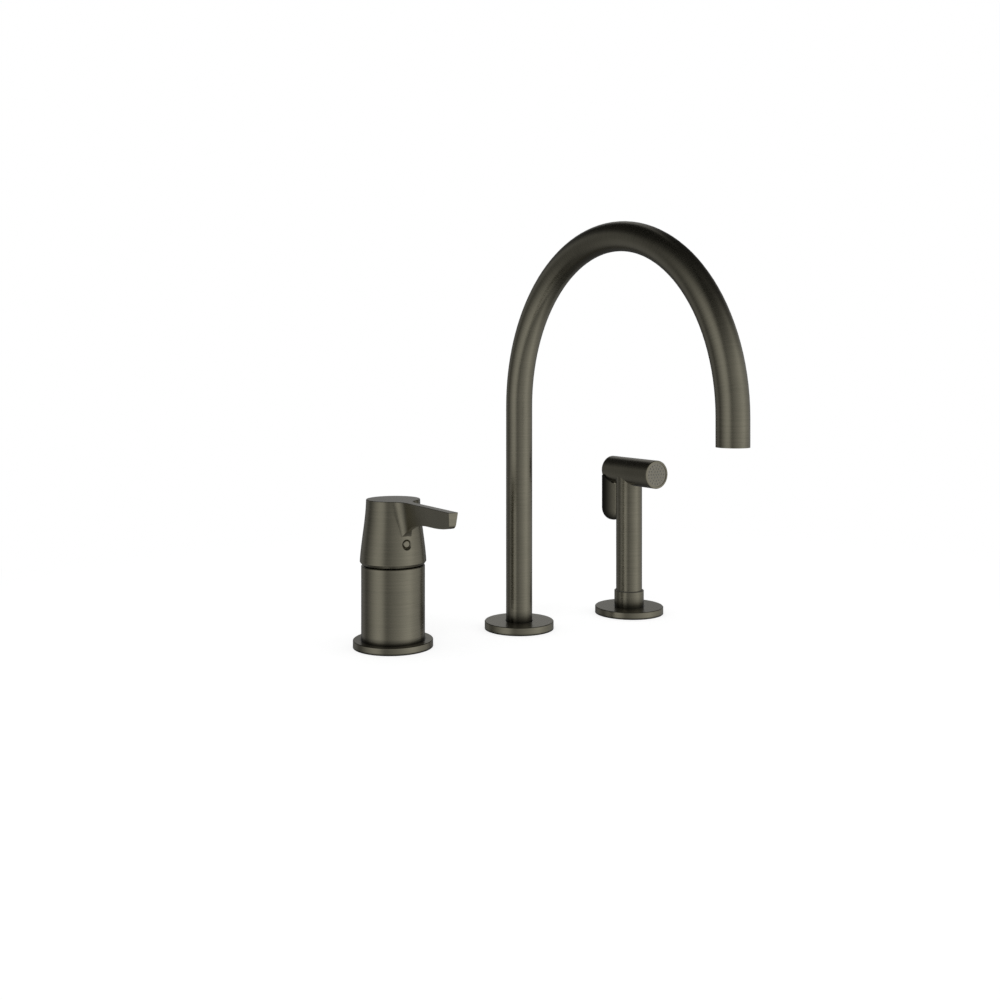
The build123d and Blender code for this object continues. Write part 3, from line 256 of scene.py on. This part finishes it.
def rim_shade_mask(graph, centre, radius, height, reach):
    """Painted shade along the rim of the trigger's upright, round-ended plate, up to reach inwards.
    """
    _, (x, _, z) = graph.place()
    dx = graph.math("SUBTRACT", x, centre.x)
    below = graph.math("MINIMUM", graph.math("SUBTRACT", z, height), 0.0)
    return graph.scaled(graph.math("SUBTRACT", radius, graph.hypotenuse(dx, below)), 0.0, reach)


fine_lines = (5200.0, 70.0)  # per metre across and along: lines about 0.2 mm apart
broad_lines = (850.0, 28.0)  # bands a little over a millimetre wide
cloud_scale = 45.0  # soft patches about 20 mm wide
speck_scale = 1900.0  # grains about 0.5 mm wide
fine_share, broad_share, cloud_share, speck_share = 0.34, 0.36, 0.22, 0.12
tone_range = (0.40, 0.64)  # the sum of these, from all dark to all light
line_depth = 0.00012
line_strength = 0.06


def brushed(
    name, lines, centre, light, dark, roughness=(0.24, 0.31), depth=1.0, mottle=1.0, painted_shade=None
):
    material, graph, shader = new_material(name)
    first, second, third = lines(graph, centre)
    point, _ = graph.place()

    def lines_at(across, along, detail):
        vector = graph.combine(
            graph.math("MULTIPLY", first, across),
            graph.math("MULTIPLY", second, across),
            graph.math("MULTIPLY", third, along),
        )
        return graph.noise(vector, 1.0, detail, 0.6)

    fine = lines_at(*fine_lines, 2.0)
    broad = lines_at(*broad_lines, 3.0)
    clouds = graph.noise(point, cloud_scale, 4.0, 0.55)
    specks = graph.noise(point, speck_scale, 2.0, 0.6)
    tone = graph.math("MULTIPLY_ADD", fine, fine_share, graph.math("MULTIPLY", broad, broad_share))
    tone = graph.math("ADD", tone, graph.math("MULTIPLY", clouds, cloud_share * mottle))
    tone = graph.math("ADD", tone, graph.math("MULTIPLY", specks, speck_share * mottle))
    colour = graph.mix(graph.scaled(tone, *tone_range, how="LINEAR"), (*dark, 1), (*light, 1))
    # Painted shade: where the mask falls to 0, the base colour goes to the shade colour.
    if painted_shade is not None:
        near, *sizes, shade_colour = painted_shade
        colour = graph.mix(near(graph, centre, *sizes), (*shade_colour, 1), colour)
    graph.put(shader.inputs["Base Color"], colour)
    shader.inputs["Metallic"].default_value = 1.0
    rough = graph.math("MULTIPLY_ADD", broad, 0.5, graph.math("MULTIPLY", fine, 0.5))
    rough = graph.scaled(rough, 0.30, 0.70, *roughness, how="LINEAR")
    graph.put(shader.inputs["Roughness"], rough)
    height = graph.math("MULTIPLY_ADD", broad, 0.5, fine)
    graph.put(shader.inputs["Normal"], graph.bump(height, line_strength * depth, line_depth))
    return material


gun_light = (0.232, 0.217, 0.166)
gun_dark = (0.182, 0.172, 0.132)
# Painted shade colour at the columns' feet and the flanges' lower edges.
foot_shade_colour = (0.025, 0.024, 0.020)
# Painted shade colour along the trigger's rim.
rim_shade_colour = (0.018, 0.017, 0.014)


# Painted shade at a column's foot: mask, sizes and colour.
def foot(column_radius, flange, reach):
    return foot_shade_mask, column_radius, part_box(flange)[1].z, reach, foot_shade_colour


mixer_foot = foot(half_width("mixer_sleeve"), "mixer_flange", 0.0046)
spout_foot = foot(tube_radius, "spout_flange", 0.0092)
spray_foot = foot(half_width("spray_collar"), "spray_flange", 0.008)
# Painted shade along the trigger's rim, darkest at the outline, gone 9.5 mm inwards.
rim_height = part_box("spray_trigger")[0].z + barrel_radius
trigger_rim_shade = (rim_shade_mask, barrel_radius, rim_height, 0.0095, rim_shade_colour)
outlet_axis = centre_of("aerator_housing")
trigger_centre = centre_of("spray_trigger")
plug_axis = centre_of("handle_plug")
for name, lines, centre, painted_shade, members in (
    ("gunmetal_mixer", round_lines, mixer_axis, mixer_foot, ("mixer_flange", "mixer_sleeve")),
    ("gunmetal_handle", round_lines, mixer_axis, None, ("mixer_handle",)),
    ("gunmetal_spout_foot", round_lines, spout_axis, spout_foot, ("spout_flange",)),
    ("gunmetal_spray_foot", round_lines, spray_axis, spray_foot, ("spray_flange", "spray_collar")),
    ("gunmetal_spout", arch_lines, spout_axis, spout_foot, ("spout_tube",)),
    ("gunmetal_outlet", round_lines, outlet_axis, None, ("aerator_housing",)),
    ("gunmetal_spray", spray_body_lines, barrel_centre, None, ("spray_body",)),
    ("gunmetal_barrel", barrel_lines, barrel_centre, None, ("spray_nozzle_ring", "spray_rear_cap")),
    ("gunmetal_trigger", blade_lines, trigger_centre, trigger_rim_shade, ("spray_trigger",)),
    ("gunmetal_plug", barrel_lines, plug_axis, None, ("handle_plug",)),
):
    finish_node(brushed(name, lines, centre, gun_light, gun_dark, painted_shade=painted_shade), *members)

dome_light = (0.10, 0.097, 0.085)
dome_dark = (0.07, 0.068, 0.06)
finish_node(brushed("dark_dome", round_lines, mixer_axis, dome_light, dome_dark), "dome_cap")

plate_light = (0.25, 0.237, 0.195)
plate_dark = (0.20, 0.19, 0.155)
finish_node(
    brushed("face_plate", barrel_lines, barrel_centre, plate_light, plate_dark, (0.30, 0.42), 0.7),
    "spray_face_plate",
)

# ---- Metals under the deck and inside -------------------------------------------------------
brass_light = (0.72, 0.53, 0.25)
brass_dark = (0.55, 0.38, 0.16)
for name, centre, members in (
    ("brass_mixer", mixer_axis, ("mixer_valve_body", "mixer_shank", "cartridge_nut")),
    ("brass_spout", spout_axis, ("spout_shank", "spout_inlet_nipple", "spout_spigot", "backnuts")),
    ("brass_spray", spray_axis, ("spray_shank", "spray_swivel")),
):
    turned = brushed(name, round_lines, centre, brass_light, brass_dark, (0.22, 0.38), 1.0, 1.6)
    finish_node(turned, *members)

steel_light = (0.66, 0.66, 0.64)
steel_dark = (0.52, 0.52, 0.51)
for name, centre, members in (
    ("steel_mixer", mixer_axis, ("cartridge_stem", "cartridge_stem_pin", "handle_screw")),
    ("steel_spout", spout_axis, ("diverter_spring", "spout_retaining_ring", "deck_washers")),
    ("steel_spray", barrel_centre, ("plunger_spring", "trigger_pin", "spray_plunger")),
):
    drawn = brushed(name, round_lines, centre, steel_light, steel_dark, (0.16, 0.3), 0.7)
    finish_node(drawn, *members)

# The deck is clear to gloss, so the metal above it must not mirror what hangs below it. Nor does
# the trigger mirror the spray's body in front of it.
for name in (
    "spray_body",
    "backnuts", "deck_washers", "deck_gaskets", "mixer_shank", "spout_shank", "spout_inlet_nipple",
    "spray_shank", "mixer_valve_body", "spout_spigot", "spray_swivel",
):
    nodes[name].visible_glossy = False

# ---- Rubber, plastic and ceramic ------------------------------------------------------------
patch_scale = 60.0  # soft patches of tone
scuff_scale = 230.0
scuff_range = (0.58, 0.72)  # of the scuffs' noise, from none to full
scuff_tone = 0.75  # of the dark tone
grain_depth = 0.00008


def moulded(name, light, dark, roughness, grain, depth, specular=0.5):
    """Soft clouds of tone, a fine moulded grain and a few darker scuffs."""
    material, graph, shader = new_material(name)
    point, _ = graph.place()
    clouds = graph.noise(point, patch_scale, 4.0, 0.6)
    pits = graph.noise(point, grain, 3.0, 0.6)
    scuffs = graph.scaled(graph.noise(point, scuff_scale, 5.0, 0.7), *scuff_range)
    tone = graph.math("MULTIPLY_ADD", clouds, 0.6, graph.math("MULTIPLY", pits, 0.4))
    colour = graph.mix(graph.scaled(tone, 0.35, 0.65, how="LINEAR"), (*dark, 1), (*light, 1))
    worn = (*(scuff_tone * part for part in dark), 1)
    colour = graph.mix(graph.math("MULTIPLY", scuffs, 0.5), colour, worn)
    graph.put(shader.inputs["Base Color"], colour)
    rough = graph.scaled(pits, 0.3, 0.7, *roughness, how="LINEAR")
    rough = graph.math("MULTIPLY_ADD", scuffs, 0.08, rough)
    graph.put(shader.inputs["Roughness"], rough)
    shader.inputs["Specular IOR Level"].default_value = specular
    graph.put(shader.inputs["Normal"], graph.bump(pits, depth, grain_depth))
    return material


rubber = moulded(
    "black_rubber", (0.040, 0.040, 0.039), (0.024, 0.024, 0.024), (0.62, 0.8), 5200.0, 0.5, 0.35
)
silicone = moulded(
    "grey_silicone", (0.20, 0.195, 0.175), (0.15, 0.146, 0.13), (0.45, 0.6), 4200.0, 0.35, 0.4
)
acetal = moulded("white_acetal", (0.80, 0.80, 0.77), (0.70, 0.70, 0.67), (0.34, 0.46), 2600.0, 0.25)
nylon = moulded("grey_nylon", (0.36, 0.37, 0.38), (0.28, 0.29, 0.30), (0.42, 0.58), 3000.0, 0.35)
ceramic = moulded("alumina", (0.87, 0.87, 0.82), (0.80, 0.80, 0.75), (0.10, 0.2), 5200.0, 0.1)
finish_node(
    rubber,
    "mixer_flange_gasket", "spout_flange_gasket", "spray_flange_gasket", "deck_gaskets",
    "cartridge_port_seals", "spout_orings", "aerator_seal", "plunger_seal",
)
finish_node(silicone, "spray_nozzle_mat")
finish_node(
    acetal,
    "spout_bearing_rings", "spray_guide_ring", "diverter_piston", "spray_valve_housing",
    "valve_retainer",
)
finish_node(
    nylon,
    "cartridge_base", "cartridge_housing", "cartridge_rotor", "disc_carrier", "aerator_insert",
)
finish_node(ceramic, "ceramic_disc_fixed", "ceramic_disc_moving")

# ---- Studio ---------------------------------------------------------------------------------
# Gloss sees soft boxes and dark gaps between them, by the direction from the object: first
# degrees round from the camera, rightwards in the picture, with the level there.
studio_round = (
    (-180, 0.42), (-162, 0.12), (-130, 0.30), (-118, 0.27), (-106, 0.10), (-90, 0.28), (-70, 0.59),
    (-53, 0.84), (-36, 0.82), (-28, 0.54), (-20, 0.25), (-12, 0.29), (0, 0.42), (25, 0.59),
    (57, 0.88), (68, 0.96), (84, 0.71), (105, 0.57), (134, 0.38), (160, 0.17), (180, 0.42),
)
# Then degrees up from level, with the share of that level there.
studio_up = ((-90, 0.45), (-62, 0.8), (-40, 1.0), (24, 1.0), (40, 0.45), (56, 0.10), (90, 0.05))
# The boxes at the sides reach less high than those in front, and those behind higher again.
sides_range = (75, 125)
back_range = (155, 175)
sides_drop, back_drop = 0.8, -0.3
# Behind, it is dark below the level.
low_range = (150, 178)
low_drop = 0.8
level_blur = 3  # degrees each way
room_light = 0.74  # level of the plain light on what isn't glossy


def ramp(graph, value, stops, low, high):
    made = graph.node("ShaderNodeValToRGB")
    elements = made.color_ramp.elements
    while len(elements) < len(stops):
        elements.new(0.5)
    for element, (place, level) in zip(elements, stops):
        element.position = (place - low) / (high - low)
        element.color = (level, level, level, 1)
    graph.put(made.inputs["Fac"], graph.scaled(value, low, high, how="LINEAR"))
    return made.outputs["Color"]


def studio(graph):
    """The colour that gloss sees in each direction."""
    direction = graph.node("ShaderNodeTexCoord").outputs["Generated"]
    forwards = graph.dot(direction, to_camera)
    rightwards = graph.dot(direction, (-to_camera.y, to_camera.x, 0))
    upwards = graph.dot(direction, (0, 0, 1))
    to_degrees = 180 / pi
    bearing = graph.math("MULTIPLY", graph.math("ARCTAN2", rightwards, forwards), to_degrees)
    climb = graph.math("MULTIPLY", graph.math("ARCSINE", upwards), to_degrees)
    aside = graph.math("ABSOLUTE", bearing)
    lower = graph.scaled(aside, *back_range, sides_drop, back_drop)
    drop = graph.math("MULTIPLY", graph.scaled(aside, *sides_range), lower)
    steeper = graph.math("MULTIPLY", climb, graph.math("ADD", 1.0, drop))
    boxes = graph.mix(
        1.0,
        ramp(graph, bearing, studio_round, -180, 180),
        ramp(graph, steeper, studio_up, -90, 90),
        how="MULTIPLY",
    )
    dimmed = graph.math("MULTIPLY", graph.scaled(aside, *low_range), low_drop)
    above_level = graph.scaled(climb, -level_blur, level_blur)
    shade = graph.pick(above_level, graph.math("SUBTRACT", 1.0, dimmed), 1.0)
    return graph.mix(shade, (0, 0, 0, 1), boxes)


world = bpy.data.worlds.new("studio")
world.use_nodes = True
scene.world = world
graph = Graph(world.node_tree)
rays = graph.node("ShaderNodeLightPath").outputs
sharp = graph.math("MAXIMUM", rays["Is Glossy Ray"], rays["Is Transmission Ray"])
lit = graph.mix(sharp, (room_light, room_light, room_light, 1), studio(graph))
background = world.node_tree.nodes["Background"]
graph.put(background.inputs["Color"], graph.mix(rays["Is Camera Ray"], lit, (1, 1, 1, 1)))
background.inputs["Strength"].default_value = 1.0


def lamp(name, place, target, size, power):
    made = bpy.data.objects.new(name, bpy.data.lights.new(name, "AREA"))
    scene.collection.objects.link(made)
    made.location = place
    made.rotation_euler = (Vector(target) - Vector(place)).to_track_quat("-Z", "Y").to_euler()
    made.data.shape = "DISK"
    made.data.size = size
    made.data.energy = power
    made.visible_glossy = False


lamp("key", (-1.0, -1.2, 1.7), (0, -0.05, 0.1), 1.1, 9.0)
lamp("fill", (1.2, -1.0, 1.3), (0, -0.05, 0.1), 1.2, 3.0)

# ---- Floor: the deck that the faucet stands on, white to the camera with the shadow kept -----
floor_reach = 6.0
floor_drop = 0.0002  # clear of the flanges
shadow_centre_y = -0.08
shadow_range = (0.28, 0.62)  # from that centre, from all shadow to plain white
floor_grey = 0.37  # matt, under a glow that brings the unshadowed deck up to white
floor_glow = 0.71
floor_pale = 0.85  # for all rays but the camera's

floor_mesh = bpy.data.meshes.new("floor")
corners = [(x * floor_reach, y * floor_reach, 0) for x, y in ((-1, -1), (1, -1), (1, 1), (-1, 1))]
floor_mesh.from_pydata(corners, [], [(0, 1, 2, 3)])
floor = bpy.data.objects.new("floor", floor_mesh)
scene.collection.objects.link(floor)
floor.location.z = -floor_drop
floor.visible_glossy = False


def matt(graph, grey):
    made = graph.node("ShaderNodeBsdfDiffuse")
    graph.put(made.inputs["Color"], (grey, grey, grey, 1))
    return made.outputs[0]


def glow(graph, strength):
    made = graph.node("ShaderNodeEmission")
    graph.put(made.inputs["Strength"], strength)
    return made.outputs[0]


material, graph, shader = new_material("floor")
graph.tree.nodes.remove(shader)
_, (x, y, _) = graph.place()
from_centre = graph.hypotenuse(x, graph.math("SUBTRACT", y, shadow_centre_y))
shadowed = graph.node("ShaderNodeAddShader")
graph.put(shadowed.inputs[0], matt(graph, floor_grey))
graph.put(shadowed.inputs[1], glow(graph, floor_glow))
far = graph.scaled(from_centre, *shadow_range)
shown = graph.mix_shaders(far, shadowed.outputs[0], glow(graph, 1.0))
camera_ray = graph.node("ShaderNodeLightPath").outputs["Is Camera Ray"]
surface = graph.mix_shaders(camera_ray, matt(graph, floor_pale), shown)
graph.put(graph.tree.nodes["Material Output"].inputs["Surface"], surface)
floor_mesh.materials.append(material)

scene.view_settings.view_transform = "Standard"
